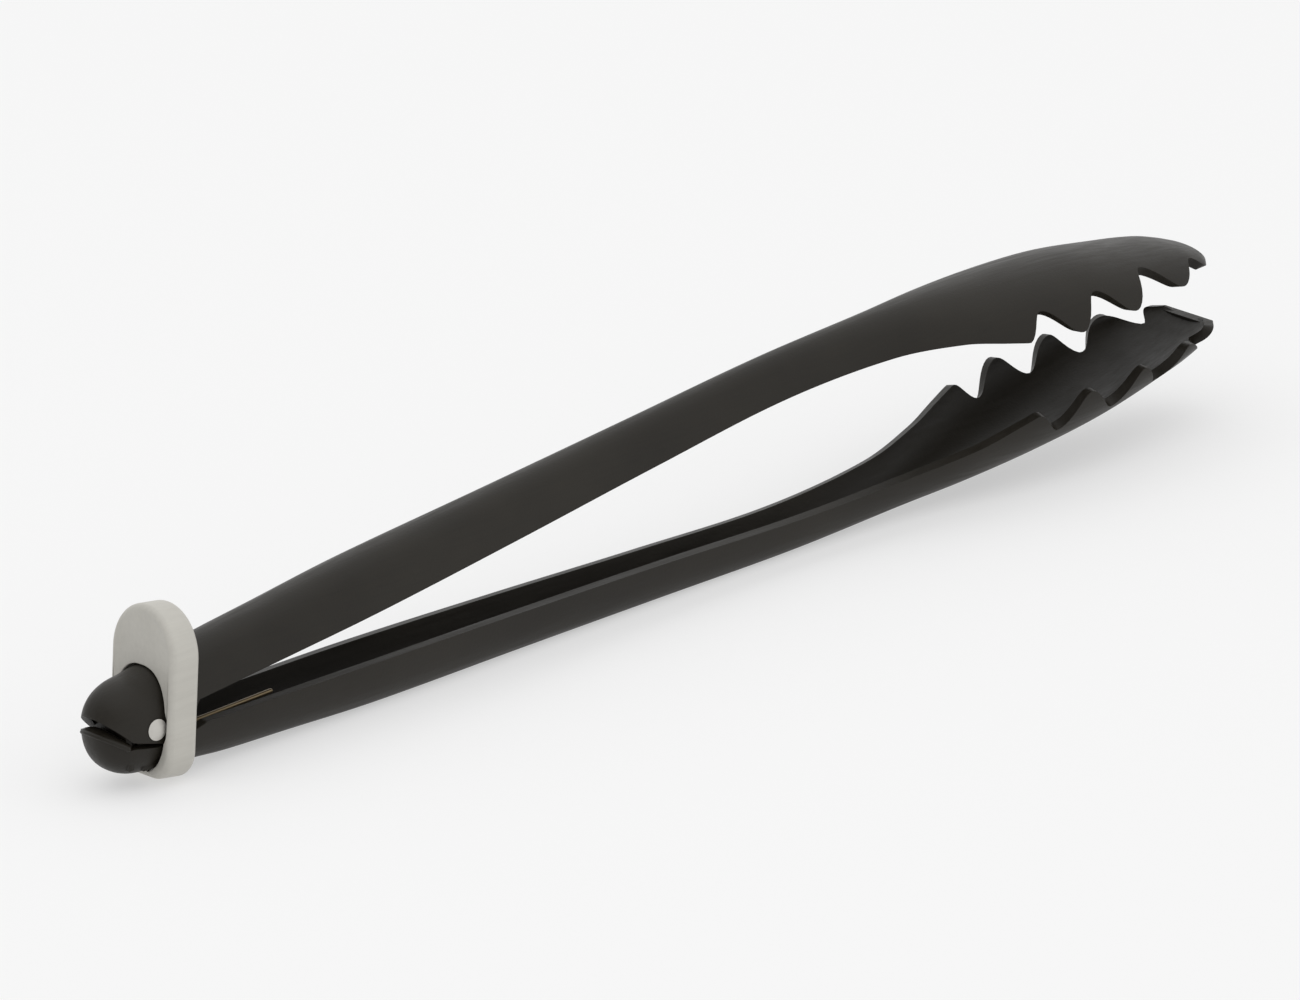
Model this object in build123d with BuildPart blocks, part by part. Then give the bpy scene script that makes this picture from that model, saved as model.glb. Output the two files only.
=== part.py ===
from build123d import *
import math
import os

os.makedirs("parts", exist_ok=True)

# Spring loaded kitchen tongs, in millimetres. +X runs from the hinge end to the jaw tips, +Z is up
# and the tongs lie on the back of the lower arm, on the plane z = 0. Each arm is drawn in its own
# frame: x along the line where the two closed arms meet, z away from the other arm, the pin at x = 0.

# Overall sizes and the pose they rest in
tip_reach = 293.0  # pin axis to the jaw tip
rear_reach = 12.0  # pin axis to the back of the rounded hinge end
lower_tilt = 1.6  # degrees that the lower arm's closing line rises from the pin
rest_opening = 2.7  # degrees between the two closing lines at rest
full_opening = 12.5  # degrees that the arms can open beyond that

# Moulded arms
wall = 2.2
hinge_half_width = 8.1
hinge_back = 10.6  # closing line to the back of the arm over the pin
handle_half_width = 6.6  # at the slimmest place, mid handle
handle_back = 17.3  # closing line to the back of the arm, mid handle
jaw_half_width = 17.8
jaw_back = 17.7  # closing line to the back of the arm, where the jaw begins
tip_back = 4.2  # and at the jaw tip
rest_flat = 0.15  # depth of the flat on the lower handle's back that the tongs lie on
edge_start = 2.5  # how far the handle's edge stands back from the closing line by the ring
edge_relief = 9.8  # and at most, before the jaw
first_tooth = 235.6  # pin axis to the first of the four teeth on each side
tooth_pitch = 14.8
notch_depth = 5.8  # closing line to the bottom of a notch
tooth_gap = 0.15  # closing line to the teeth and the lip
lip_half_width = 9.0

# Hinge
lug_wall = 1.7  # the lower arm's lugs, between the upper arm's ears
lug_radius = 4.6
ear_drop = 3.7  # how far the ears reach past the pin axis
ear_rear = 6.0  # how far they reach behind it
ear_rear_drop = 1.0  # how far past it their rear corner is
ear_front = 6.0  # how far they reach in front of it, at full depth
side_gap = 0.2  # between ears and lugs
mouth_rise = 5.0  # height of the upper dome's rear edge over the closing line
pin_radius = 1.5
running_clearance = 0.05
head_radius = 2.35
head_height = 0.8
tenon_radius = 0.9
tenon_length = 0.5

# Spring
wire_radius = 0.55
coil_radius = 3.4
coil_pitch = 1.2
coil_turns = 5
leg_length = 34.0
sleeve_radius = 2.6
seat_gap = 0.05

# Lock ring
ring_rear = 1.4  # pin axis to the ring's rear face
ring_length = 7.6
ring_lean = 9.0  # degrees that the ring leans towards the jaws
ring_wall = 2.15
ring_floor = 1.0  # thickness under the arms
ring_corner = 5.0  # radius of its two lower corners
ring_top = 25.4  # top of the thumb tab from the pin axis, along the ring
ring_clearance = 0.35
ring_edge = 1.8
ring_per_degree = 0.8  # travel of the ring along the arms for each degree of opening

section_steps = 12
skirt = 6.0  # how far a section's sides run on past the closing line before they are trimmed


# ---------------------------------------------------------------- frames
def lift(reach, degrees):
    """How far a point that far from the pin rises with the slope of its arm."""
    return reach * math.sin(math.radians(degrees))


# The handle's back is parallel to the table, so mid handle gives the height of the pin axis.
handle_middle = 140.0
pin_height = handle_back - lift(handle_middle, lower_tilt) - rest_flat
pin_axis = Vector((rear_reach - tip_reach) / 2, 0, pin_height)


def sloped_frame(degrees, upright):
    """The frame of an arm whose closing line rises by that many degrees from the pin."""
    slope = math.radians(degrees)
    along = Vector(math.cos(slope), 0, math.sin(slope))
    away = Vector(-math.sin(slope), 0, math.cos(slope))
    return Plane(origin=pin_axis, x_dir=along, z_dir=away if upright else -away)


upper_frame = sloped_frame(lower_tilt + rest_opening, True)
lower_frame = sloped_frame(lower_tilt, False)
side_plane = Plane.XZ


# ---------------------------------------------------------------- the arms' cross-sections
# One row is one section: distance from the pin, half-width, height of the back over the closing
# line, and how square it is (2 is an ellipse).
def blended(row, other, share):
    """The section that lies that share of the way from one row to another."""
    return tuple(a + share * (b - a) for a, b in zip(row, other))


over_pin = (0.0, hinge_half_width, hinge_back, 2.3)
past_ring = (20.0, hinge_half_width + 0.2, hinge_back + 2.3, 2.4)
handle_start = (60.0, hinge_half_width + 0.4, handle_back - 2.1, 2.5)
handle_sections = [
    over_pin,
    blended(over_pin, past_ring, 0.3),
    blended(over_pin, past_ring, 0.6),
    past_ring,
    blended(past_ring, handle_start, 0.4),
    handle_start,
    (100.0, handle_half_width + 0.9, handle_back - 1.1, 2.5),
    (handle_middle, handle_half_width, handle_back, 2.5),
    (176.0, handle_half_width + 0.3, handle_back + 0.9, 2.4),
]
jaw_spacing = 17.5
jaw_sections = [
    (tip_reach - 5 * jaw_spacing, jaw_half_width * 0.53, jaw_back, 2.2),
    (tip_reach - 4 * jaw_spacing, jaw_half_width * 0.76, jaw_back - 0.7, 2.1),
    (tip_reach - 3 * jaw_spacing, jaw_half_width * 0.94, jaw_back - 2.2, 2.0),
    (tip_reach - 2 * jaw_spacing, jaw_half_width, jaw_back - 4.7, 2.0),
    (tip_reach - jaw_spacing, jaw_half_width * 0.9, jaw_back - 8.3, 2.0),
    (tip_reach, lip_half_width, tip_back, 2.2),
]


def dome_sections(reach):
    """Sections of the rounded hinge end, from its back up to the pin."""
    rows = []
    for turn in (80, 62, 42, 21):
        share = math.cos(math.radians(turn))
        distance = -reach * math.sin(math.radians(turn))
        rows.append((distance, hinge_half_width * share, hinge_back * share, 2.3))
    return rows


def section_points(half_width, back, squareness):
    """Half of a superellipse over the closing line, from one edge over the back to the other."""
    points = []
    for step in range(section_steps + 1):
        turn = math.pi * step / section_steps
        across = math.copysign(abs(math.cos(turn)) ** (2 / squareness), math.cos(turn))
        height = math.sin(turn) ** (2 / squareness) if 0 < step < section_steps else 0.0
        points.append((half_width * across, back * height))
    return points


def arm_solid(rows, depth):
    """A solid through the sections, with its sides run on past the closing line by that depth."""
    with BuildPart() as solid:
        for distance, half_width, back, squareness in rows:
            with BuildSketch(Plane((distance, 0, 0), x_dir=(0, 1, 0), z_dir=(1, 0, 0))):
                outline = section_points(half_width, back, squareness)
                with BuildLine():
                    Line((half_width, -depth), outline[0])
                    Spline(*outline, tangents=[(0, 1), (0, -1)])
                    Line(outline[-1], (-half_width, -depth))
                    Line((-half_width, -depth), (half_width, -depth))
                make_face()
        loft()
    return solid.part


def arm_shell():
    """An arm's outside with its inside, one wall smaller, taken out."""
    outside = dome_sections(rear_reach) + handle_sections + jaw_sections
    inside = []
    for distance, half_width, back, squareness in dome_sections(rear_reach - wall):
        share = half_width / hinge_half_width
        inside.append((distance, half_width - wall * share, back - wall * share, squareness))
    for distance, half_width, back, squareness in handle_sections + jaw_sections[:-1]:
        inside.append((distance, half_width - wall, back - wall, squareness))
    inside.append((tip_reach - wall, lip_half_width - wall / 2, tip_back - wall, 2.2))
    return arm_solid(outside, skirt) - arm_solid(inside, skirt + 1)


def edge_cutter(hinge_line):
    """What lies past the arm's edge: its hinge end, the long handle edge, four teeth and the lip."""
    tips = []
    for tooth, short in enumerate((2.65, 0.55, 0.0, 0.0)):
        tips.append((first_tooth + tooth * tooth_pitch, tooth_gap + short))
    notches = []
    for tooth, deeper in enumerate((1.6, 0.2, 0.0, -1.0)):
        notches.append((first_tooth + (tooth + 0.5) * tooth_pitch, notch_depth + deeper))
    scallops = [point for pair in zip(tips, notches) for point in pair]
    handle_edge = [
        hinge_line[-1],
        (60, edge_start + 1.5),
        (100, edge_start + 3.3),
        (handle_middle, edge_relief - 1.9),
        (176, edge_relief),
        (first_tooth - 31, edge_relief - 0.6),
        (first_tooth - 14, edge_relief - 2.7),
        (first_tooth - 5, edge_relief - 5.4),
        tips[0],
    ]
    lip = (tip_reach - wall - 0.3, tooth_gap + 0.2)
    far = tip_reach + 5
    below = -2 * skirt
    with BuildPart() as cutter:
        with BuildSketch(side_plane):
            with BuildLine():
                Polyline(*hinge_line)
                Spline(*handle_edge)
                Spline(*scallops, lip)
                Polyline(lip, (far, lip[1]), (far, below), (hinge_line[0][0], below), hinge_line[0])
            make_face()
        extrude(amount=2 * jaw_half_width, both=True)
    return cutter.part


def placed(shape, frame):
    """An arm drawn in its own frame, put where that frame lies."""
    return shape.moved(frame.location)


# The mouth behind the pin: the lower dome's rim is the upper one's rear edge turned by the full
# opening and a little more, so that the two meet only past the end of the travel.
mouth_spare = 1.5
past_rear = -rear_reach - 2
ear_corner = (-ear_rear, -ear_rear_drop)
mouth_slope = (mouth_rise + ear_rear_drop) / (rear_reach - ear_rear)
upper_mouth = (past_rear, -ear_rear_drop + mouth_slope * (-ear_rear - past_rear))


def opened(point):
    """A point of the upper arm at full opening, in the lower arm's frame."""
    turn = math.radians(rest_opening + full_opening + mouth_spare)
    x = point[0] * math.cos(turn) - point[1] * math.sin(turn)
    z = point[0] * math.sin(turn) + point[1] * math.cos(turn)
    return (x, -z)


def build_upper_arm():
    """The upper arm: shell, ears outside the lugs, room for the lugs and a seat for the spring."""
    hinge_line = [
        upper_mouth,
        ear_corner,
        (pin_radius, -ear_drop),
        (ear_front, -ear_drop),
        (ear_front + 6, edge_start),
    ]
    shell = arm_shell() - edge_cutter(hinge_line)
    with BuildPart() as arm:
        add(shell)
        with BuildSketch(side_plane):
            Circle(lug_radius + 2 * side_gap)
        extrude(amount=hinge_half_width - wall, both=True, mode=Mode.SUBTRACT)
        with BuildSketch(side_plane):
            Circle(pin_radius + running_clearance)
        extrude(amount=2 * hinge_half_width, both=True, mode=Mode.SUBTRACT)
        for side in (1, -1):
            with BuildSketch(side_plane.offset(side * hinge_half_width)):
                Circle(head_radius + side_gap)
            extrude(amount=side * head_height, mode=Mode.SUBTRACT)
        add(spring_seat())
    return arm.part


def build_lower_arm():
    """The lower arm: shell cut back round the ears, with lugs inside them that hold the pin."""
    low_corner = opened(ear_corner)
    rim = opened(upper_mouth)
    seam = ear_drop + 2 * side_gap
    recess_rear = -ear_rear - 1
    rim_slope = (low_corner[1] - rim[1]) / (low_corner[0] - rim[0])
    rim_start = low_corner[1] + rim_slope * (recess_rear - low_corner[0])
    hinge_line = [
        rim,
        (recess_rear, rim_start),
        (recess_rear, low_corner[1] + side_gap),
        (low_corner[0], low_corner[1] + side_gap),
        (0, seam),
        (ear_front + 1, seam),
        (ear_front + 7, edge_start),
    ]
    shell = arm_shell() - edge_cutter(hinge_line)
    lug_outside = hinge_half_width - wall - side_gap
    web_half_length = 3.0
    web_depth = 7.0
    with BuildPart() as lug:
        with BuildSketch(side_plane.offset(lug_outside - lug_wall)):
            Circle(lug_radius)
            with Locations((0, web_depth / 2)):
                Rectangle(2 * web_half_length, web_depth)
        extrude(amount=lug_wall)
        mirror(about=Plane.XZ)
    with BuildPart() as arm:
        add(shell)
        add(lug.part)
        with BuildSketch(side_plane):
            Circle(pin_radius)
        extrude(amount=2 * hinge_half_width, both=True, mode=Mode.SUBTRACT)
        add(spring_seat())
    return arm.part


def spring_seat():
    """A rib across an arm's channel that the end of a spring leg bears on."""
    seat_place = 28.0
    seat_length = 3.0
    leg_side = coil_radius + wire_radius + seat_gap
    share = (seat_place - past_ring[0]) / (handle_start[0] - past_ring[0])
    middle = blended(past_ring, handle_start, share)
    with BuildPart() as rib:
        with BuildSketch(Plane((seat_place, 0, 0), x_dir=(0, 1, 0), z_dir=(1, 0, 0))):
            outline = section_points(middle[1] - wall / 2, middle[2] - wall / 2, middle[3])
            with BuildLine():
                Spline(*outline, tangents=[(0, 1), (0, -1)])
                Line(outline[-1], outline[0])
            make_face()
            Rectangle(4 * hinge_half_width, 2 * leg_side, mode=Mode.SUBTRACT)
        extrude(amount=seat_length)
    return rib.part


upper_arm = placed(build_upper_arm(), upper_frame)
upper_arm.label = "upper_arm"
export_step(upper_arm, "parts/upper_arm.step")

lower_arm = placed(build_lower_arm(), lower_frame)
under_table = Box(2 * tip_reach, 4 * jaw_half_width, skirt, align=(Align.CENTER, Align.CENTER, Align.MAX))
lower_arm = lower_arm - under_table
lower_arm.label = "lower_arm"
export_step(lower_arm, "parts/lower_arm.step")


# ---------------------------------------------------------------- hinge pin, its cap and the sleeve
head_seat = hinge_half_width + running_clearance
dome_radius = (head_radius**2 + head_height**2) / (2 * head_height)


def build_head(side):
    """A low dome against the outside of an ear, on the near side (-1) or the far side (1)."""
    with BuildPart() as head:
        with BuildSketch(Plane.YZ) as profile:
            with BuildLine():
                Line((0, 0), (0, head_radius))
                RadiusArc((0, head_radius), (head_height, 0), dome_radius)
                Line((head_height, 0), (0, 0))
            make_face()
        revolve(axis=Axis.Y)
    shape = head.part if side > 0 else mirror(head.part, about=Plane.XZ)
    return shape.moved(Location(pin_axis + Vector(0, side * head_seat, 0)))


near_head = build_head(-1)
far_head = build_head(1)
across_hinge = Plane(origin=pin_axis - Vector(0, head_seat, 0), x_dir=(1, 0, 0), z_dir=(0, 1, 0))

with BuildPart() as hinge_pin:
    add(near_head)
    with BuildSketch(across_hinge):
        Circle(pin_radius)
    extrude(amount=2 * head_seat)
    with BuildSketch(across_hinge.offset(2 * head_seat)):
        Circle(tenon_radius)
    extrude(amount=tenon_length)
hinge_pin.part.label = "hinge_pin"
export_step(hinge_pin.part, "parts/hinge_pin.step")

with BuildPart() as pin_cap:
    add(far_head)
    with BuildSketch(across_hinge.offset(2 * head_seat)):
        Circle(tenon_radius)
    extrude(amount=tenon_length, mode=Mode.SUBTRACT)
pin_cap.part.label = "pin_cap"
export_step(pin_cap.part, "parts/pin_cap.step")

spring_room = 2 * (hinge_half_width - wall - side_gap - lug_wall)
sleeve_length = spring_room - 2 * side_gap
across_coil = Plane(origin=pin_axis - Vector(0, sleeve_length / 2, 0), x_dir=(1, 0, 0), z_dir=(0, 1, 0))
with BuildPart() as spring_sleeve:
    with BuildSketch(across_coil):
        Circle(sleeve_radius)
        Circle(pin_radius + running_clearance, mode=Mode.SUBTRACT)
    extrude(amount=sleeve_length)
spring_sleeve.part.label = "spring_sleeve"
export_step(spring_sleeve.part, "parts/spring_sleeve.step")


# ---------------------------------------------------------------- torsion spring
turns = coil_turns + (180 - rest_opening) / 360
coil_length = coil_pitch * turns
coil_frame = Plane(
    origin=pin_axis - Vector(0, coil_length / 2, 0), x_dir=lower_frame.z_dir, z_dir=(0, 1, 0)
)
coil = Helix(coil_pitch, coil_length, coil_radius).moved(coil_frame.location)
lower_leg = Line(coil @ 0 - (coil % 0) * leg_length, coil @ 0)
upper_leg = Line(coil @ 1, coil @ 1 + (coil % 1) * leg_length)
with BuildPart() as torsion_spring:
    with BuildLine() as wire_path:
        add(lower_leg)
        add(coil)
        add(upper_leg)
    with BuildSketch(Plane(origin=lower_leg @ 0, z_dir=lower_leg % 0)):
        Circle(wire_radius)
    sweep(path=wire_path.wires()[0])
torsion_spring.part.label = "torsion_spring"
export_step(torsion_spring.part, "parts/torsion_spring.step")


# ---------------------------------------------------------------- lock ring
# The ring is made to pass the arms at each place along its travel, from fully closed to fully open.
ring_forward = ring_per_degree * rest_opening
opening_half_width = hinge_half_width + 0.2 + ring_clearance


def back_at(distance):
    """Height of an arm's back over the closing line, near the hinge."""
    return blended(over_pin, past_ring, distance / past_ring[0])[2]


def opening_heights(distance):
    """How far the opening reaches over and under the pin axis at that place on the ring."""
    top = 0.0
    bottom = 0.0
    for travel, opening in ((0, rest_opening), (ring_forward, 0)):
        reach = distance + travel
        top = max(top, back_at(reach) + lift(reach, lower_tilt + opening))
        bottom = max(bottom, back_at(reach) - lift(reach, lower_tilt))
    return top + ring_clearance, bottom + ring_clearance


def oval(half_width, top, bottom, squareness):
    """A closed outline with its own height over and under the pin axis."""
    over = section_points(half_width, top, squareness)
    under = [(across, -height) for across, height in section_points(half_width, bottom, squareness)]
    Spline(*over, tangents=[(0, 1), (0, -1)])
    Spline(*reversed(under), tangents=[(0, -1), (0, 1)])


def build_opening():
    """What the arms pass through, with a groove on each side for the heads of the pin."""
    start = ring_rear - 3.5
    end = ring_rear + ring_length + 5
    with BuildPart() as opening:
        for distance in (start, end):
            top, bottom = opening_heights(distance)
            plane = Plane(origin=pin_axis + Vector(distance, 0, 0), x_dir=(0, 1, 0), z_dir=(1, 0, 0))
            with BuildSketch(plane):
                with BuildLine():
                    oval(opening_half_width, top, bottom, 2.5)
                make_face()
        loft()
        groove_width = 2 * (head_seat + head_height + ring_clearance)
        groove_height = 2 * (head_radius + ring_clearance)
        with BuildSketch(Plane(origin=pin_axis + Vector(start, 0, 0), x_dir=(0, 1, 0), z_dir=(1, 0, 0))):
            Rectangle(groove_width, groove_height)
        extrude(amount=end - start)
    return opening.part


lean = math.radians(ring_lean)
ring_frame = Plane(
    origin=pin_axis + Vector(ring_rear, 0, 0),
    x_dir=(0, 1, 0),
    z_dir=(math.cos(lean), 0, -math.sin(lean)),
)
ring_half_width = opening_half_width + ring_wall
ring_foot = opening_heights(ring_rear)[1] + ring_floor
tab_centre = ring_top - ring_half_width
with BuildPart() as lock_ring:
    with BuildSketch(ring_frame):
        with Locations((0, tab_centre)):
            Circle(ring_half_width)
        corner_place = ring_half_width - ring_corner
        with Locations((corner_place, ring_corner - ring_foot), (-corner_place, ring_corner - ring_foot)):
            Circle(ring_corner)
        make_hull()
    extrude(amount=ring_length)
    rims = lock_ring.faces().filter_by(lambda face: abs(face.normal_at().dot(ring_frame.z_dir)) > 0.99)
    fillet(rims.edges(), radius=ring_edge)
    add(build_opening(), mode=Mode.SUBTRACT)
lock_ring.part.label = "lock_ring"
export_step(lock_ring.part, "parts/lock_ring.step")
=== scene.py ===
import math

import bmesh
import bpy
from mathutils import Matrix, Vector


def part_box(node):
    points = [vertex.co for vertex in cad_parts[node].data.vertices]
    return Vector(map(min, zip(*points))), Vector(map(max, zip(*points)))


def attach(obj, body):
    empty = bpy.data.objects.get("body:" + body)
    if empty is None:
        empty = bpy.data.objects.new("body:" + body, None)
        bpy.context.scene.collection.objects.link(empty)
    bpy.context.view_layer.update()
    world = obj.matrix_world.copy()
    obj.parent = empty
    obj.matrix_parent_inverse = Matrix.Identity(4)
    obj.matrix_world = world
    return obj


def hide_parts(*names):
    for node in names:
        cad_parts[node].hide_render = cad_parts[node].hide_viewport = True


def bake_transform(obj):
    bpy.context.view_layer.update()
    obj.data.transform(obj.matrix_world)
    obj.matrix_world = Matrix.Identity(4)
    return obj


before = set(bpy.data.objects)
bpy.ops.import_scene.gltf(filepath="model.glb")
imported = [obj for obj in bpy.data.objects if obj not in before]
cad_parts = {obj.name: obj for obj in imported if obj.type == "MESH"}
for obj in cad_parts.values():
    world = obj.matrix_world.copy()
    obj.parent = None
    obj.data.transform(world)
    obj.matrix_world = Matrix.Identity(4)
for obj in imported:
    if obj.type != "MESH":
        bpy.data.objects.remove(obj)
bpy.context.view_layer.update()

# ---------------------------------------------------------------- upper arm
# The upper arm of the tongs: a long open channel with a scoop and four teeth a side at its end,
# injection-moulded in one piece from black glass-filled nylon. Its two ears straddle the lower
# arm's lugs, and it turns on the hinge pin. All sizes of the arms are in millimetres.
mm = 0.001
sleeve_low, sleeve_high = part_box("spring_sleeve")
pin_axis = (sleeve_low + sleeve_high) / 2
wall = 2.2
tip_reach = 292.3
upper_reach = 12.0
upper_slope = math.radians(4.3)
pin_hole_radius = 1.55
lug_room_radius = 5.0
lug_room_half_width = 5.9

# One row is one section: distance from the pin, half-width, height of the back over the line where
# the closed arms meet, and how square it is (2 is an ellipse).
arm_sections = [
    (0.0, 8.1, 10.6, 2.3),
    (6.0, 8.16, 11.29, 2.33),
    (12.0, 8.22, 11.98, 2.36),
    (20.0, 8.3, 12.9, 2.4),
    (36.0, 8.38, 13.82, 2.44),
    (60.0, 8.5, 15.2, 2.5),
    (100.0, 7.7, 16.2, 2.5),
    (140.0, 6.8, 17.3, 2.5),
    (176.0, 7.1, 18.2, 2.4),
    (205.5, 9.5, 17.6, 2.2),
    (223.0, 13.6, 16.9, 2.1),
    (240.5, 16.9, 15.4, 2.0),
    (258.0, 17.75, 12.9, 2.0),
    (275.5, 16.6, 8.5, 2.0),
    (285.0, 13.9, 5.8, 2.1),
    (289.5, 11.6, 3.9, 2.15),
    (292.3, 8.2, 2.5, 2.2),
]
handle_edge = [
    (13.0, 2.5),
    (60.0, 4.0),
    (100.0, 5.8),
    (140.0, 7.9),
    (176.0, 9.8),
    (204.6, 9.2),
    (221.6, 7.1),
    (230.6, 4.6),
    (236.0, 3.0),
]
upper_teeth = [
    (236.0, 3.0),
    (240.9, 8.3),
    (249.8, 1.0),
    (255.8, 7.6),
    (264.9, 0.5),
    (270.8, 7.0),
    (280.4, 0.15),
    (285.6, 3.6),
    (290.4, 0.35),
]
upper_hinge_edge = [(-12.0, 6.0), (-6.0, -1.0), (1.5, -3.7), (6.0, -3.7), (12.0, 2.5), (13.0, 2.5)]


def smooth_row(rows, distance):
    """The values at that distance along an arm, on a smooth curve through the rows."""
    last = len(rows) - 1
    k = 0
    while k < last - 1 and rows[k + 1][0] < distance:
        k += 1
    before, start, end, after = rows[max(k - 1, 0)], rows[k], rows[k + 1], rows[min(k + 2, last)]
    length = end[0] - start[0]
    share = (distance - start[0]) / length
    values = []
    for column in range(1, len(start)):
        leaving = (end[column] - before[column]) / (end[0] - before[0]) * length
        arriving = (after[column] - start[column]) / (after[0] - start[0]) * length
        values.append(
            start[column] * (2 * share**3 - 3 * share**2 + 1)
            + leaving * (share**3 - 2 * share**2 + share)
            + end[column] * (3 * share**2 - 2 * share**3)
            + arriving * (share**3 - share**2)
        )
    return values


def edge_height(hinge_edge, teeth, distance):
    """How far an arm's edge stands back from the closing line at that distance from the pin."""
    if distance <= hinge_edge[-1][0]:
        for start, end in zip(hinge_edge, hinge_edge[1:]):
            if distance <= end[0]:
                share = (distance - start[0]) / (end[0] - start[0])
                return start[1] + share * (end[1] - start[1])
    if distance <= handle_edge[-1][0]:
        return smooth_row(handle_edge, distance)[0]
    for start, end in zip(teeth, teeth[1:]):
        if distance <= end[0]:
            share = (distance - start[0]) / (end[0] - start[0])
            return start[1] + (end[1] - start[1]) * (1 - math.cos(math.pi * share)) / 2
    return teeth[-1][1]


# Spacing of the mesh rows below the edge; the rest of a section is divided evenly.
rows_by_edge = [0.0, 0.35, 0.8, 1.3, 1.8, 2.4, 3.2]
rows_to_back = 16
dome_squareness = 2.35  # the hinge end's profile along the arm; 2 is round


def outside_line(distance, edge, reach, shrink=0.0):
    """A section of an arm's outside, from its near edge over the back to its far edge."""
    if distance < 0:
        scale = max(1 - abs(distance / reach) ** dome_squareness, 0.0) ** (1 / dome_squareness)
        hinge_half_width, hinge_back, squareness = arm_sections[0][1:]
        half_width, back = hinge_half_width * scale, hinge_back * scale
    else:
        half_width, back, squareness = smooth_row(arm_sections, distance)
    half_width -= shrink
    back -= shrink
    side = [(half_width, edge)] if edge < 0 else []
    raised = min(max(edge, 0.0) / back, 1.0) if back > 1e-6 else 0.0
    first_turn = math.asin(raised ** (squareness / 2))
    for step in range(91):
        turn = first_turn + (math.pi / 2 - first_turn) * step / 90
        across = half_width * max(math.cos(turn), 0.0) ** (2 / squareness)
        side.append((across, back * math.sin(turn) ** (2 / squareness)))
    lengths = [0.0]
    for a, b in zip(side, side[1:]):
        lengths.append(lengths[-1] + math.hypot(b[0] - a[0], b[1] - a[1]))
    whole = lengths[-1]
    near = [d * min(1.0, whole / 8) for d in rows_by_edge]
    places = near + [near[-1] + (whole - near[-1]) * k / rows_to_back for k in range(1, rows_to_back + 1)]
    half = []
    k = 0
    for place in places:
        while k < len(side) - 2 and lengths[k + 1] < place:
            k += 1
        gap = lengths[k + 1] - lengths[k]
        share = min((place - lengths[k]) / gap, 1.0) if gap > 1e-9 else 0.0
        y = side[k][0] + share * (side[k + 1][0] - side[k][0])
        z = side[k][1] + share * (side[k + 1][1] - side[k][1])
        half.append((y, z))
    half[-1] = (0.0, side[-1][1])
    return [(distance, -y, z) for y, z in half] + [(distance, y, z) for y, z in reversed(half[:-1])]


def stations(reach, last_turn, corners):
    """Distances from the pin at which an arm's sections are set out, close together at the teeth."""
    places = [-reach * math.sin(math.radians(last_turn * (30 - k) / 30)) for k in range(30)]
    places += [0.8 * k for k in range(18)]
    places += [15.0 + 3.0 * k for k in range(62)]
    places += [201.0 + 1.5 * k for k in range(22)]
    places += [234.0 + 0.74 * k for k in range(72)]
    places += [287.2 + 0.35 * k for k in range(13)]
    places = [p for p in places if all(abs(p - c) > 0.12 for c in corners)]
    return sorted(places + corners + [292.4, tip_reach])


def arm_point(slope, away_sign, x, y, z):
    """A point of an arm's own frame (along it, across it, away from the other arm) in the tongs."""
    along = Vector((math.cos(slope), 0, math.sin(slope)))
    away = Vector((-math.sin(slope), 0, math.cos(slope))) * away_sign
    return pin_axis + (along * x + away * z) * mm + Vector((0, y * mm, 0))


def extruded_skin(mesh, lines):
    """A skin through the lines: the first is laid out, and each next one is extruded from it."""
    verts = [mesh.verts.new(p) for p in lines[0]]
    edges = [mesh.edges.new(pair) for pair in zip(verts, verts[1:])]
    for line in lines[1:]:
        grown = bmesh.ops.extrude_edge_only(mesh, edges=edges)["geom"]
        new_verts = {v for v in grown if isinstance(v, bmesh.types.BMVert)}
        following = []
        for v in verts:
            partner = next(e.other_vert(v) for e in v.link_edges if e.other_vert(v) in new_verts)
            following.append(partner)
        for v, p in zip(following, line):
            v.co = p
        verts = following
        edges = [mesh.edges.get(pair) for pair in zip(verts, verts[1:])]


def arm_outside(reach, last_turn, slope, away_sign, hinge_edge, teeth, corners):
    """The outside of an arm as a thin skin, closed at the jaw's front by the lip's wall."""
    lines = []
    for distance in stations(reach, last_turn, corners):
        lines.append(outside_line(distance, edge_height(hinge_edge, teeth, distance), reach))
    lip = edge_height(hinge_edge, teeth, tip_reach)
    front = lines[-1]
    for share in (0.82, 0.6, 0.36, 0.14, 0.0):
        lines.append([(x, y, lip + (z - lip) * share) for x, y, z in front])
    mesh = bmesh.new()
    extruded_skin(mesh, [[arm_point(slope, away_sign, *p) for p in line] for line in lines])
    bmesh.ops.remove_doubles(mesh, verts=mesh.verts, dist=0.00002)
    bmesh.ops.dissolve_degenerate(mesh, edges=mesh.edges, dist=0.00001)
    bmesh.ops.recalc_face_normals(mesh, faces=mesh.faces)
    highest = max(mesh.faces, key=lambda f: f.calc_center_median().z * away_sign)
    if highest.normal.z * away_sign < 0:
        bmesh.ops.reverse_faces(mesh, faces=mesh.faces)
    return mesh


def piece_from(mesh, name):
    """A scene object made from a finished bmesh."""
    data = bpy.data.meshes.new(name)
    mesh.to_mesh(data)
    mesh.free()
    for polygon in data.polygons:
        polygon.use_smooth = True
    piece = bpy.data.objects.new(name, data)
    bpy.context.scene.collection.objects.link(piece)
    return piece


def settled(piece):
    """Makes the piece's modifiers part of its mesh."""
    seen = piece.evaluated_get(bpy.context.evaluated_depsgraph_get())
    data = bpy.data.meshes.new_from_object(seen)
    piece.modifiers.clear()
    piece.data = data


def cut(piece, cutter):
    """Takes a closed bmesh out of a piece."""
    tool = piece_from(cutter, "cutter")
    boolean = piece.modifiers.new("Cut", "BOOLEAN")
    boolean.operation = "DIFFERENCE"
    boolean.solver = "EXACT"
    boolean.object = tool
    settled(piece)
    bpy.data.objects.remove(tool)


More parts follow.
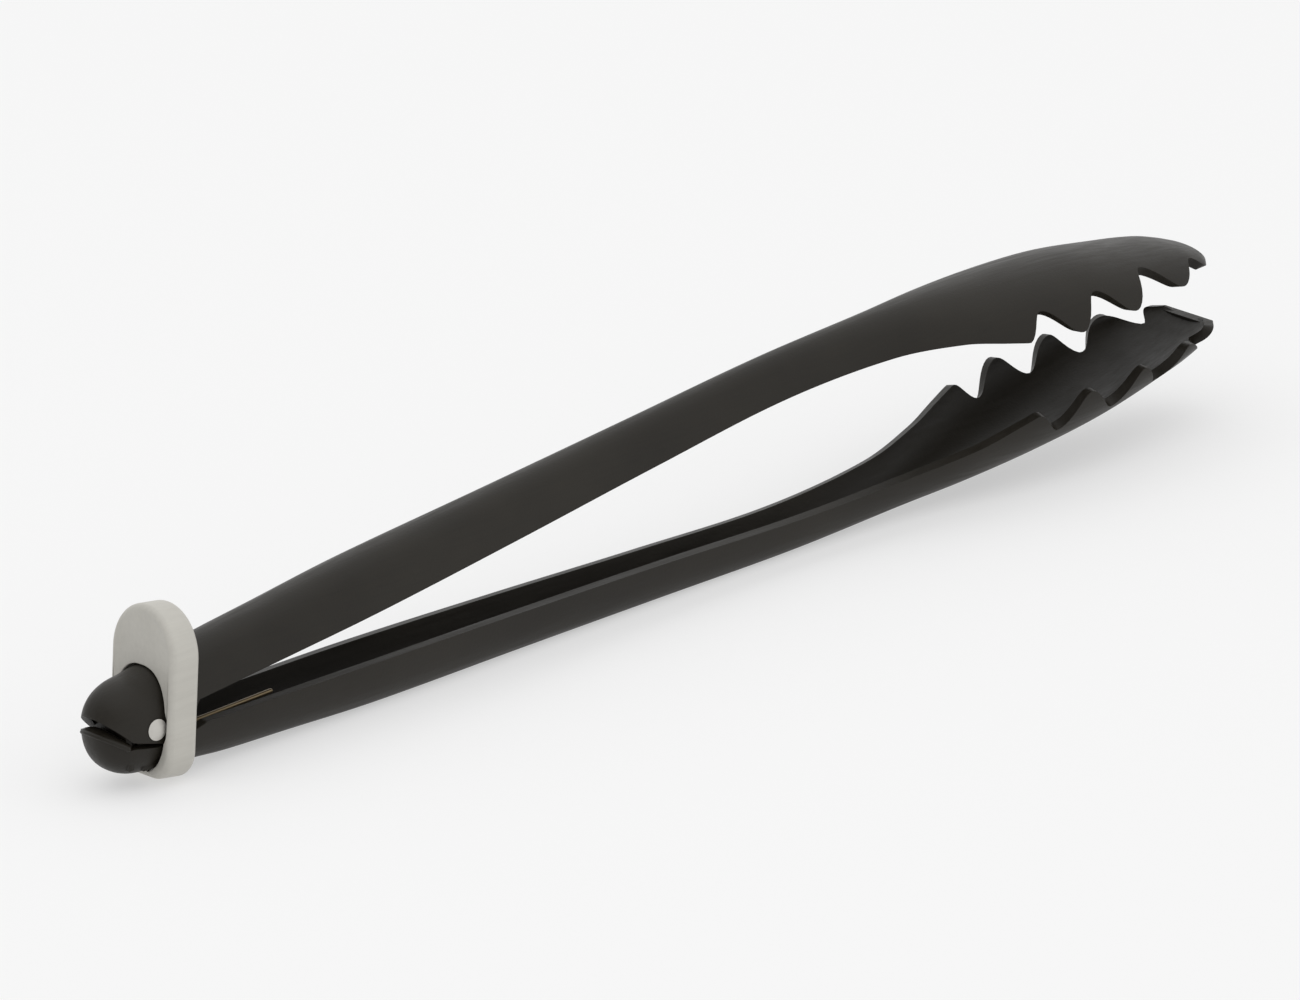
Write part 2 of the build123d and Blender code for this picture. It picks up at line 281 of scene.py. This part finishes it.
def turned(profile, steps=72):
    """A body of revolution about the pin axis, from (place along the axis, radius) in millimetres."""
    mesh = bmesh.new()
    verts = [mesh.verts.new(pin_axis + Vector((0, y, radius)) * mm) for y, radius in profile]
    edges = [mesh.edges.new(pair) for pair in zip(verts, verts[1:])]
    edges.append(mesh.edges.new((verts[-1], verts[0])))
    bmesh.ops.spin(
        mesh, geom=verts + edges, cent=pin_axis, axis=(0, 1, 0), angle=math.tau,
        steps=steps, use_merge=True,
    )
    bmesh.ops.remove_doubles(mesh, verts=mesh.verts, dist=0.00001)
    bmesh.ops.dissolve_degenerate(mesh, edges=mesh.edges, dist=0.000005)
    bmesh.ops.recalc_face_normals(mesh, faces=mesh.faces)
    return mesh


def walled(piece, thickness):
    """Gives a skin its wall, inwards."""
    solidify = piece.modifiers.new("Wall", "SOLIDIFY")
    solidify.thickness = thickness * mm
    solidify.offset = -1
    solidify.use_even_offset = True
    settled(piece)


def softened(piece, width, segments=2, angle=40):
    """Rounds a piece's sharp edges a little, as a moulding's are, and shades it evenly."""
    bevel = piece.modifiers.new("Edges", "BEVEL")
    bevel.width = width * mm
    bevel.segments = segments
    bevel.limit_method = "ANGLE"
    bevel.angle_limit = math.radians(angle)
    bevel.miter_outer = "MITER_ARC"
    bevel.use_clamp_overlap = True
    normals = piece.modifiers.new("Shading", "WEIGHTED_NORMAL")
    normals.keep_sharp = True
    settled(piece)


def add_spring_rib(mesh, slope, away_sign):
    """A rib across the channel that the end of a spring leg bears on."""
    start, length, leg_side = 28.0, 3.0, 4.0
    line = outside_line(start, leg_side, upper_reach, shrink=wall / 2)
    verts = [mesh.verts.new(arm_point(slope, away_sign, *p)) for p in line]
    face = mesh.faces.new(verts)
    grown = bmesh.ops.extrude_face_region(mesh, geom=[face])["geom"]
    along = Vector((math.cos(slope), 0, math.sin(slope)))
    bmesh.ops.translate(
        mesh, verts=[v for v in grown if isinstance(v, bmesh.types.BMVert)], vec=along * length * mm
    )


upper_arm = piece_from(
    arm_outside(upper_reach, 68.0, upper_slope, 1, upper_hinge_edge, upper_teeth, [-6.0, 1.5, 6.0, 12.0]),
    "upper_arm_nylon",
)
walled(upper_arm, wall)
hole_end = 9  # past the ears on both sides
pin_hole = [(-hole_end, 0), (-hole_end, pin_hole_radius), (hole_end, pin_hole_radius), (hole_end, 0)]
cut(upper_arm, turned(pin_hole))
lug_room = [(-lug_room_half_width, 0), (-lug_room_half_width, lug_room_radius)]
lug_room += [(lug_room_half_width, lug_room_radius), (lug_room_half_width, 0)]
cut(upper_arm, turned(lug_room))
rib = bmesh.new()
add_spring_rib(rib, upper_slope, 1)
bmesh.ops.recalc_face_normals(rib, faces=rib.faces)
rib.from_mesh(upper_arm.data)
rib.to_mesh(upper_arm.data)
rib.free()
softened(upper_arm, 0.35)


def wired(tree, kind, place=(0, 0), **settings):
    """A node with its properties and the values of its sockets."""
    node = tree.nodes.new(kind)
    node.location = place
    for key, value in settings.items():
        if hasattr(node, key):
            setattr(node, key, value)
        else:
            node.inputs[key.replace("_", " ")].default_value = value
    return node


def moulded_surface():
    """What every moulded face has: a fine even grain, cloudy tone and long faint scuffs."""
    tree = bpy.data.node_groups.new("moulded surface", "ShaderNodeTree")
    for name in ("Grain size", "Grain depth"):
        tree.interface.new_socket(name, in_out="INPUT", socket_type="NodeSocketFloat")
    for name in ("Clouds", "Scuffs", "Grain"):
        tree.interface.new_socket(name, in_out="OUTPUT", socket_type="NodeSocketFloat")
    tree.interface.new_socket("Normal", in_out="OUTPUT", socket_type="NodeSocketVector")
    given = tree.nodes.new("NodeGroupInput")
    result = tree.nodes.new("NodeGroupOutput")
    place = wired(tree, "ShaderNodeTexCoord")
    clouds = wired(tree, "ShaderNodeTexNoise", Scale=38.0, Detail=3.0, Roughness=0.55)
    tree.links.new(place.outputs["Object"], clouds.inputs["Vector"])
    stretch = wired(tree, "ShaderNodeMapping")
    stretch.inputs["Scale"].default_value = (0.06, 1.0, 1.0)
    tree.links.new(place.outputs["Object"], stretch.inputs["Vector"])
    scuffs = wired(tree, "ShaderNodeTexNoise", Scale=900.0, Detail=4.0, Roughness=0.6)
    tree.links.new(stretch.outputs["Vector"], scuffs.inputs["Vector"])
    grain = wired(tree, "ShaderNodeTexNoise", Detail=2.0, Roughness=0.6)
    tree.links.new(place.outputs["Object"], grain.inputs["Vector"])
    tree.links.new(given.outputs["Grain size"], grain.inputs["Scale"])
    bump = wired(tree, "ShaderNodeBump", Strength=0.5)
    tree.links.new(grain.outputs["Fac"], bump.inputs["Height"])
    tree.links.new(given.outputs["Grain depth"], bump.inputs["Distance"])
    tree.links.new(clouds.outputs["Fac"], result.inputs["Clouds"])
    tree.links.new(scuffs.outputs["Fac"], result.inputs["Scuffs"])
    tree.links.new(grain.outputs["Fac"], result.inputs["Grain"])
    tree.links.new(bump.outputs["Normal"], result.inputs["Normal"])
    return tree


surface_group = moulded_surface()


def moulded_finish(name, dark, light, smooth, rough, grain_size, grain_depth, shine=0.5):
    """A moulded plastic: its two tones, its roughest and smoothest places, and its grain."""
    material = bpy.data.materials.new(name)
    material.use_nodes = True
    tree = material.node_tree
    shader = tree.nodes["Principled BSDF"]
    shader.inputs["Specular IOR Level"].default_value = shine
    surface = wired(tree, "ShaderNodeGroup")
    surface.node_tree = surface_group
    surface.inputs["Grain size"].default_value = grain_size
    surface.inputs["Grain depth"].default_value = grain_depth
    tone = wired(tree, "ShaderNodeValToRGB")
    tone.color_ramp.elements[0].position = 0.32
    tone.color_ramp.elements[0].color = (*dark, 1)
    tone.color_ramp.elements[1].position = 0.68
    tone.color_ramp.elements[1].color = (*light, 1)
    mixed = wired(tree, "ShaderNodeMath", operation="MULTIPLY_ADD")
    mixed.inputs[1].default_value = 0.35
    tree.links.new(surface.outputs["Scuffs"], mixed.inputs[0])
    cloud_share = wired(tree, "ShaderNodeMath", operation="MULTIPLY")
    cloud_share.inputs[1].default_value = 0.65
    tree.links.new(surface.outputs["Clouds"], cloud_share.inputs[0])
    tree.links.new(cloud_share.outputs[0], mixed.inputs[2])
    tree.links.new(mixed.outputs[0], tone.inputs["Fac"])
    tree.links.new(tone.outputs["Color"], shader.inputs["Base Color"])
    gloss = wired(tree, "ShaderNodeMapRange")
    gloss.inputs["From Min"].default_value = 0.3
    gloss.inputs["From Max"].default_value = 0.7
    gloss.inputs["To Min"].default_value = smooth
    gloss.inputs["To Max"].default_value = rough
    tree.links.new(surface.outputs["Scuffs"], gloss.inputs["Value"])
    tree.links.new(gloss.outputs["Result"], shader.inputs["Roughness"])
    tree.links.new(surface.outputs["Normal"], shader.inputs["Normal"])
    return material


arm_nylon = moulded_finish(
    "black nylon", (0.0108, 0.0088, 0.0058), (0.019, 0.0161, 0.0116), 0.38, 0.52, 1700.0, 0.00006,
    shine=0.27,
)
upper_arm.data.materials.clear()
upper_arm.data.materials.append(arm_nylon)
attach(upper_arm, "upper")
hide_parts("upper_arm")

# ---------------------------------------------------------------- lower arm
# The lower arm: the same channel, scoop and teeth, moulded in the same nylon. Its sides are cut back
# to let the upper arm's ears turn, two lugs inside them hold the pin, and a rolled lip stiffens the
# mouth behind the pin.
lower_reach = 12.0
lower_slope = math.radians(1.6)
lug_inside, lug_outside = 4.0, 5.7
lug_radius = 4.6
pin_radius = 1.5
web_length, web_height, web_middle = 6, 5.5, 6.4  # joins each lug to the channel's floor
lower_teeth = [
    (236.0, 3.0),
    (241.8, 8.3),
    (249.8, 1.2),
    (257.0, 7.6),
    (265.2, 0.6),
    (270.6, 6.9),
    (279.6, 0.15),
    (286.0, 4.4),
    (290.6, 0.35),
]
lower_hinge_edge = [
    (-12.0, -1.7),
    (-7.0, 2.0),
    (-6.8, 2.9),
    (-5.45, 2.9),
    (0.0, 4.1),
    (7.0, 4.1),
    (13.0, 2.5),
]
lower_arm = piece_from(
    arm_outside(
        lower_reach, 90.0, lower_slope, -1, lower_hinge_edge, lower_teeth,
        [-7.0, -6.8, -5.45, 0.0, 7.0, 13.0],
    ),
    "lower_arm_nylon",
)
walled(lower_arm, wall)

fittings = bmesh.new()
add_spring_rib(fittings, lower_slope, -1)
for side in (-1, 1):
    near, far = side * lug_inside, side * lug_outside
    disc = turned([(near, pin_radius), (near, lug_radius), (far, lug_radius), (far, pin_radius)])
    disc_data = bpy.data.meshes.new("lug")
    disc.to_mesh(disc_data)
    disc.free()
    fittings.from_mesh(disc_data)
    web = bmesh.ops.create_cube(fittings, size=1.0)["verts"]
    web_width = lug_outside - lug_inside
    bmesh.ops.scale(fittings, verts=web, vec=(web_length * mm, web_width * mm, web_height * mm))
    centre = arm_point(lower_slope, -1, 0, (near + far) / 2, web_middle)
    bmesh.ops.translate(fittings, verts=web, vec=centre)
# A web behind the coil ties the lugs together.
tie_thickness, tie_height = 1.4, 9.5
tie_reach, tie_middle = 5.9, 3.2
tie = bmesh.ops.create_cube(fittings, size=1.0)["verts"]
bmesh.ops.scale(fittings, verts=tie, vec=(tie_thickness * mm, 2 * lug_outside * mm, tie_height * mm))
bmesh.ops.translate(fittings, verts=tie, vec=arm_point(lower_slope, -1, -tie_reach, 0, tie_middle))
bmesh.ops.recalc_face_normals(fittings, faces=fittings.faces)
fittings.from_mesh(lower_arm.data)
fittings.to_mesh(lower_arm.data)
fittings.free()
tight_hole = [(-hole_end, 0), (-hole_end, pin_radius), (hole_end, pin_radius), (hole_end, 0)]
cut(lower_arm, turned(tight_hole))
softened(lower_arm, 0.35)


def rolled_lip():
    """The round lip along the mouth's rim, from one ear round the back to the other."""
    half_height, half_depth, sides = 0.9, 1.9, 18
    inset = half_depth - 0.6  # the lip stands a little proud of the shell and runs well inside it
    narrowing = 1 - inset / 9.0
    lip_start = 7.05
    path = []
    for step in range(31):
        distance = -lip_start - (lower_reach - lip_start) * math.sin(math.pi / 2 * step / 30)
        edge = edge_height(lower_hinge_edge, lower_teeth, distance)
        scale = max(1 - abs(distance / lower_reach) ** dome_squareness, 0.0) ** (1 / dome_squareness)
        path.append((distance * narrowing, arm_sections[0][1] * scale * narrowing, edge + half_height))
    path = [(x, -y, z) for x, y, z in path] + [(x, y, z) for x, y, z in reversed(path[:-1])]
    points = [arm_point(lower_slope, -1, *p) for p in path]
    up = Vector((0, 0, 1))
    mesh = bmesh.new()
    loops = []
    for k, point in enumerate(points):
        before, after = points[max(k - 1, 0)], points[min(k + 1, len(points) - 1)]
        forward = (after - before).normalized()
        outward = forward.cross(up).normalized()
        over = outward.cross(forward)
        turn = Matrix((outward, over, forward)).transposed().to_4x4()
        at_end = min(k, len(points) - 1 - k)
        size = (0.35, 0.8)[at_end] if at_end < 2 else 1.0
        stretch = Matrix.Diagonal((half_depth * mm * size, half_height * mm * size, 1, 1))
        ring = bmesh.ops.create_circle(
            mesh, segments=sides, radius=1.0, matrix=Matrix.Translation(point) @ turn @ stretch
        )["verts"]
        loops.append([e for e in {e for v in ring for e in v.link_edges}])
    for first, second in zip(loops, loops[1:]):
        bmesh.ops.bridge_loops(mesh, edges=first + second)
    bmesh.ops.holes_fill(mesh, edges=loops[0] + loops[-1], sides=sides)
    bmesh.ops.recalc_face_normals(mesh, faces=mesh.faces)
    return mesh


lip = rolled_lip()
lip.from_mesh(lower_arm.data)
lip.to_mesh(lower_arm.data)
lip.free()
for polygon in lower_arm.data.polygons:
    polygon.use_smooth = True
lower_arm.data.materials.clear()
lower_arm.data.materials.append(arm_nylon)
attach(lower_arm, "lower")
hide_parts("lower_arm")

# ---------------------------------------------------------------- hinge pin and its cap
# A moulded plastic pin through ears and lugs, with a low round head on the near side; its tenon is
# pressed into a matching cap on the far side. Both are pale grey.
head_seat = 8.15
head_radius, head_height = 2.35, 0.8
tenon_radius, tenon_length = 0.9, 0.5
dome_radius = (head_radius**2 + head_height**2) / (2 * head_height)


def head_outline(side):
    """The head's domed face from its middle to its rim, with the rim a little rounded."""
    outline = []
    for step in range(10):
        radius = (head_radius - 0.12) * step / 9
        rise = math.sqrt(dome_radius**2 - radius**2) - (dome_radius - head_height)
        outline.append((side * (head_seat + rise), radius))
    outline += [(side * (head_seat + 0.1), head_radius), (side * head_seat, head_radius)]
    return outline


pin_profile = head_outline(-1) + [(-head_seat, pin_radius), (head_seat, pin_radius)]
pin_profile += [(head_seat, tenon_radius)]
pin_profile += [(head_seat + tenon_length, tenon_radius), (head_seat + tenon_length, 0)]
hinge_pin = piece_from(turned(pin_profile), "pin_with_head")
cap_profile = head_outline(1) + [(head_seat, tenon_radius), (head_seat + tenon_length, tenon_radius)]
cap_profile += [(head_seat + tenon_length, 0)]
pin_cap = piece_from(turned(cap_profile), "pressed_cap")
pin_plastic = moulded_finish(
    "pale grey pin", (0.5, 0.485, 0.45), (0.6, 0.58, 0.54), 0.34, 0.46, 2600.0, 0.00003
)
for piece, node in ((hinge_pin, "hinge_pin"), (pin_cap, "pin_cap")):
    softened(piece, 0.08, angle=50)
    piece.data.materials.clear()
    piece.data.materials.append(pin_plastic)
    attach(piece, "lower")
    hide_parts(node)

# ---------------------------------------------------------------- spring sleeve
# A plain moulded tube that fills the coil and turns freely on the pin, so the spring can't cock.
sleeve_half = (sleeve_high.y - sleeve_low.y) / 2 / mm
sleeve_radius = 2.6
spring_sleeve = piece_from(
    turned(
        [
            (-sleeve_half, pin_hole_radius),
            (-sleeve_half, sleeve_radius),
            (sleeve_half, sleeve_radius),
            (sleeve_half, pin_hole_radius),
        ]
    ),
    "coil_sleeve",
)
softened(spring_sleeve, 0.2, segments=3)
spring_sleeve.data.materials.clear()
spring_sleeve.data.materials.append(
    moulded_finish("sleeve plastic", (0.32, 0.31, 0.29), (0.4, 0.39, 0.36), 0.4, 0.52, 2400.0, 0.00003)
)
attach(spring_sleeve, "lower")
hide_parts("spring_sleeve")

# ---------------------------------------------------------------- torsion spring
# Hard-drawn steel wire with a dull straw tone, wound five and a half turns round the sleeve; each
# straight leg runs along the channel of one arm and bears on its rib.
wire_radius, coil_radius, coil_pitch = 0.55, 3.4, 1.2
leg_length = 34.0
turns = 5 + (180 - 2.7) / 360
coil_length = coil_pitch * turns
steps_a_turn = 44
spring_steps = round(turns * steps_a_turn)


def spring_mesh():
    """The wire: a round section wound about the pin axis, then drawn out straight at both ends."""
    mesh = bmesh.new()
    coil_turn = Matrix.Rotation(-lower_slope, 4, "Y")
    start = pin_axis + coil_turn @ Vector((0, -coil_length / 2, -coil_radius)) * mm
    facing = coil_turn @ Matrix.Rotation(math.pi / 2, 4, "Y")
    section = bmesh.ops.create_circle(
        mesh, segments=14, radius=wire_radius * mm, matrix=Matrix.Translation(start) @ facing
    )["verts"]
    ring = list({e for v in section for e in v.link_edges})
    wound = bmesh.ops.spin(
        mesh, geom=section + ring, cent=pin_axis, axis=(0, 1, 0), angle=math.tau * turns,
        dvec=(0, coil_length * mm / spring_steps, 0), steps=spring_steps,
    )["geom_last"]
    last_ring = [g for g in wound if isinstance(g, bmesh.types.BMEdge)]
    for edges, slope in ((ring, lower_slope), (last_ring, upper_slope)):
        along = Vector((math.cos(slope), 0, math.sin(slope)))
        for length, size in ((2.0, 1.0), (leg_length - 2.3, 1.0), (0.2, 0.86), (0.1, 0.6)):
            grown = bmesh.ops.extrude_edge_only(mesh, edges=edges)["geom"]
            moved = [g for g in grown if isinstance(g, bmesh.types.BMVert)]
            bmesh.ops.translate(mesh, verts=moved, vec=along * length * mm)
            middle = sum((v.co for v in moved), Vector()) / len(moved)
            bmesh.ops.scale(mesh, verts=moved, vec=(size,) * 3, space=Matrix.Translation(-middle))
            edges = [g for g in grown if isinstance(g, bmesh.types.BMEdge)]
            edges = [e for e in edges if all(v in moved for v in e.verts)]
        bmesh.ops.contextual_create(mesh, geom=edges)
    bmesh.ops.recalc_face_normals(mesh, faces=mesh.faces)
    return mesh


torsion_spring = piece_from(spring_mesh(), "spring_of_wire")
spring_wire = bpy.data.materials.new("straw drawn wire")
spring_wire.use_nodes = True
wire_tree = spring_wire.node_tree
wire_shader = wire_tree.nodes["Principled BSDF"]
wire_shader.inputs["Metallic"].default_value = 0.85
wire_surface = wired(wire_tree, "ShaderNodeGroup")
wire_surface.node_tree = surface_group
wire_surface.inputs["Grain size"].default_value = 3200.0
wire_surface.inputs["Grain depth"].default_value = 0.00002
wire_tone = wired(wire_tree, "ShaderNodeValToRGB")
wire_tone.color_ramp.elements[0].position = 0.35
wire_tone.color_ramp.elements[0].color = (0.2, 0.15, 0.085, 1)
wire_tone.color_ramp.elements[1].position = 0.7
wire_tone.color_ramp.elements[1].color = (0.34, 0.27, 0.17, 1)
wire_gloss = wired(wire_tree, "ShaderNodeMapRange")
wire_gloss.inputs["To Min"].default_value = 0.28
wire_gloss.inputs["To Max"].default_value = 0.48
wire_tree.links.new(wire_surface.outputs["Scuffs"], wire_tone.inputs["Fac"])
wire_tree.links.new(wire_tone.outputs["Color"], wire_shader.inputs["Base Color"])
wire_tree.links.new(wire_surface.outputs["Clouds"], wire_gloss.inputs["Value"])
wire_tree.links.new(wire_gloss.outputs["Result"], wire_shader.inputs["Roughness"])
wire_tree.links.new(wire_surface.outputs["Normal"], wire_shader.inputs["Normal"])
torsion_spring.data.materials.append(spring_wire)
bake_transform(torsion_spring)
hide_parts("torsion_spring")

# ---------------------------------------------------------------- lock ring
# The pale grey ring that slides along both arms to hold them shut: one moulding with a thumb tab on
# top, soft rounded rims, and a shallow groove on each side of its opening for the pin's heads.
ring_rear, ring_length, ring_wall = 1.4, 7.6, 2.15
ring_lean = math.radians(9.0)
opening_half_width = 8.65
ring_half_width = opening_half_width + ring_wall
ring_top, ring_foot, ring_corner = 24.9, 12.0, 6.5
ring_points = 160
groove_depth, groove_half_height = 0.65, 3.2
opening_growth = 0.012  # how much taller the opening gets, for each millimetre towards the jaws
outer_round, inner_round = 1.5, 0.3


def ring_point(x, y, z):
    """A point of the ring's own frame (through it, across it, up it) in the tongs."""
    through = Vector((math.cos(ring_lean), 0, -math.sin(ring_lean)))
    upwards = Vector((math.sin(ring_lean), 0, math.cos(ring_lean)))
    return pin_axis + (Vector((ring_rear, y, 0)) + through * x + upwards * z) * mm


def outline_point(turn):
    """The ring's outside: a round tab over a body with two rounded lower corners."""
    across, height = math.cos(turn), math.sin(turn)
    if height >= 0:
        return across * ring_half_width, ring_top - ring_half_width + height * ring_half_width
    flat = ring_half_width - ring_corner
    squared = max(abs(across), abs(height))
    y, z = across / squared * ring_half_width, height / squared * ring_half_width
    corner = Vector((abs(y) - flat, abs(z) - flat))
    if corner.x > 0 and corner.y > 0:
        corner = corner.normalized() * ring_corner
        y, z = math.copysign(flat + corner.x, y), -(flat + corner.y)
    return y, z - (ring_foot - ring_half_width)


def opening_point(turn):
    """The ring's opening at its rear: a squarish oval that clears the arms' backs."""
    across, height = math.cos(turn), math.sin(turn)
    top, bottom = 11.45, 10.95
    y = math.copysign(abs(across) ** 0.8, across) * opening_half_width
    z = math.copysign(abs(height) ** 0.8, height) * (top if height > 0 else bottom)
    lean_shift = z * math.sin(ring_lean)
    return y, z * (1 + opening_growth * lean_shift * (1.5 if z > 0 else 0.5))


def ring_mesh():
    """The ring: its outline and its opening bridged, drawn out to its length, and the rims rounded."""
    mesh = bmesh.new()
    loops = []
    for kind in ("outline", "opening"):
        verts = bmesh.ops.create_circle(mesh, segments=ring_points, radius=1.0)["verts"]
        for v in verts:
            turn = math.atan2(v.co.y, v.co.x)
            place = outline_point(turn) if kind == "outline" else opening_point(turn)
            v.co = Vector((0, *place))
        loops.append(list({e for v in verts for e in v.link_edges}))
    faces = bmesh.ops.bridge_loops(mesh, edges=loops[0] + loops[1])["faces"]
    inside = {v for e in loops[1] for v in e.verts}
    grown = bmesh.ops.extrude_face_region(mesh, geom=faces)["geom"]
    front = [g for g in grown if isinstance(g, bmesh.types.BMVert)]
    bmesh.ops.translate(mesh, verts=front, vec=(ring_length, 0, 0))
    for v in front:
        rear = next(e.other_vert(v) for e in v.link_edges if e.other_vert(v) not in front)
        if rear in inside:
            v.co.z = rear.co.z * (1 + opening_growth * ring_length * (1.5 if rear.co.z > 0 else 0.5))
    bmesh.ops.recalc_face_normals(mesh, faces=mesh.faces)

    def on_opening(v):
        """Whether a corner lies on the opening, at the rear or straight in front of it."""
        across = [e.other_vert(v) for e in v.link_edges]
        return v in inside or any(o in inside and abs(o.co.x - v.co.x) > 1 for o in across)

    outer, inner = [], []
    for edge in mesh.edges:
        if edge.calc_face_angle(0.0) > 1.0 and abs(edge.verts[0].co.x - edge.verts[1].co.x) < 0.01:
            (inner if all(on_opening(v) for v in edge.verts) else outer).append(edge)
    bmesh.ops.bevel(
        mesh, geom=outer, offset=outer_round, offset_type="OFFSET", segments=7, profile=0.5,
        affect="EDGES", material=-1, clamp_overlap=False,
    )
    bmesh.ops.bevel(
        mesh, geom=[e for e in inner if e.is_valid], offset=inner_round, offset_type="OFFSET", segments=3,
        profile=0.5, affect="EDGES", material=-1, clamp_overlap=False,
    )
    for v in mesh.verts:
        y, z = v.co.y, v.co.z
        if abs(z) < groove_half_height and abs(y) < opening_half_width + 0.35:
            depth = groove_depth * math.cos(math.pi / 2 * z / groove_half_height) ** 0.5
            v.co.y += math.copysign(depth, y)
    for v in mesh.verts:
        v.co = ring_point(*v.co)
    bmesh.ops.recalc_face_normals(mesh, faces=mesh.faces)
    return mesh


lock_ring = piece_from(ring_mesh(), "sliding_ring")
ring_shading = lock_ring.modifiers.new("Shading", "WEIGHTED_NORMAL")
settled(lock_ring)
lock_ring.data.materials.clear()
lock_ring.data.materials.append(
    moulded_finish("pale grey ring", (0.43, 0.415, 0.375), (0.53, 0.515, 0.47), 0.4, 0.54, 1900.0, 0.00004)
)
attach(lock_ring, "ring")
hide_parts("lock_ring")

# ---------------------------------------------------------------- table, light and camera
# A plain pale table top in a room that is darker behind the hinge, a large soft light overhead, and
# the camera well back with a long lens.
table_mesh = bmesh.new()
bmesh.ops.create_grid(table_mesh, x_segments=2, y_segments=2, size=6.0)
table_top = piece_from(table_mesh, "table_top")
table_finish = bpy.data.materials.new("pale table")
table_finish.use_nodes = True
table_shader = table_finish.node_tree.nodes["Principled BSDF"]
table_shader.inputs["Base Color"].default_value = (0.45, 0.45, 0.45, 1)
table_shader.inputs["Emission Color"].default_value = (1.0, 1.0, 1.0, 1)
table_shader.inputs["Emission Strength"].default_value = 0.47
table_shader.inputs["Roughness"].default_value = 0.9
table_shader.inputs["Specular IOR Level"].default_value = 0.0
table_top.data.materials.append(table_finish)

world = bpy.data.worlds.new("soft room")
bpy.context.scene.world = world
world.use_nodes = True
sky = world.node_tree
sky_direction = sky.nodes.new("ShaderNodeTexCoord")
sky_side = wired(sky, "ShaderNodeVectorMath", operation="DOT_PRODUCT")
sky_side.inputs[1].default_value = (0.85, -0.1, 0.5)  # towards the bright side of the room
sky_strength = wired(sky, "ShaderNodeMapRange")
sky_strength.inputs["From Min"].default_value = -1.0
sky_strength.inputs["From Max"].default_value = 0.35
sky_strength.inputs["To Min"].default_value = 0.25
sky_strength.inputs["To Max"].default_value = 1.02
sky.links.new(sky_direction.outputs["Generated"], sky_side.inputs[0])
sky.links.new(sky_side.outputs["Value"], sky_strength.inputs["Value"])
sky.links.new(sky_strength.outputs["Result"], sky.nodes["Background"].inputs["Strength"])
sky.nodes["Background"].inputs["Color"].default_value = (1.0, 1.0, 1.0, 1)


def soft_light(name, place, target, size, power):
    """A square soft light at that place, facing the target."""
    light = bpy.data.lights.new(name, "AREA")
    light.size = size
    light.energy = power
    holder = bpy.data.objects.new(name, light)
    holder.location = place
    holder.rotation_euler = (Vector(target) - Vector(place)).to_track_quat("-Z", "Y").to_euler()
    bpy.context.scene.collection.objects.link(holder)


soft_light("overhead softbox", (-0.2, -0.1, 1.6), (0, 0, 0), 2.4, 5.0)

azimuth, elevation, roll = math.radians(37.13), math.radians(19.84), math.radians(-5.03)
focal_pixels, camera_distance = 20698.0, 4.4317
side_pixels, rise_pixels = -0.2, -9.7
looked_at = Vector((0, 0, 0.0196))
back = Vector(
    (-math.sin(azimuth) * math.cos(elevation), -math.cos(azimuth) * math.cos(elevation), math.sin(elevation))
)
level_right = Vector((math.cos(azimuth), -math.sin(azimuth), 0))
level_up = back.cross(level_right)
right = math.cos(roll) * level_right + math.sin(roll) * level_up
up = -math.sin(roll) * level_right + math.cos(roll) * level_up
image_width, sensor = 1300, 36.0
lens = bpy.data.cameras.new("camera")
lens.sensor_width = sensor
lens.lens = focal_pixels / image_width * sensor
lens.clip_end = 100.0
camera = bpy.data.objects.new("camera", lens)
per_pixel = camera_distance / focal_pixels
camera.location = looked_at + back * camera_distance - right * side_pixels * per_pixel
camera.location -= up * rise_pixels * per_pixel
camera.rotation_mode = "QUATERNION"
camera.rotation_quaternion = Matrix((right, up, back)).transposed().to_quaternion()
bpy.context.scene.collection.objects.link(camera)
bpy.context.scene.camera = camera
bpy.context.scene.view_settings.view_transform = "Standard"
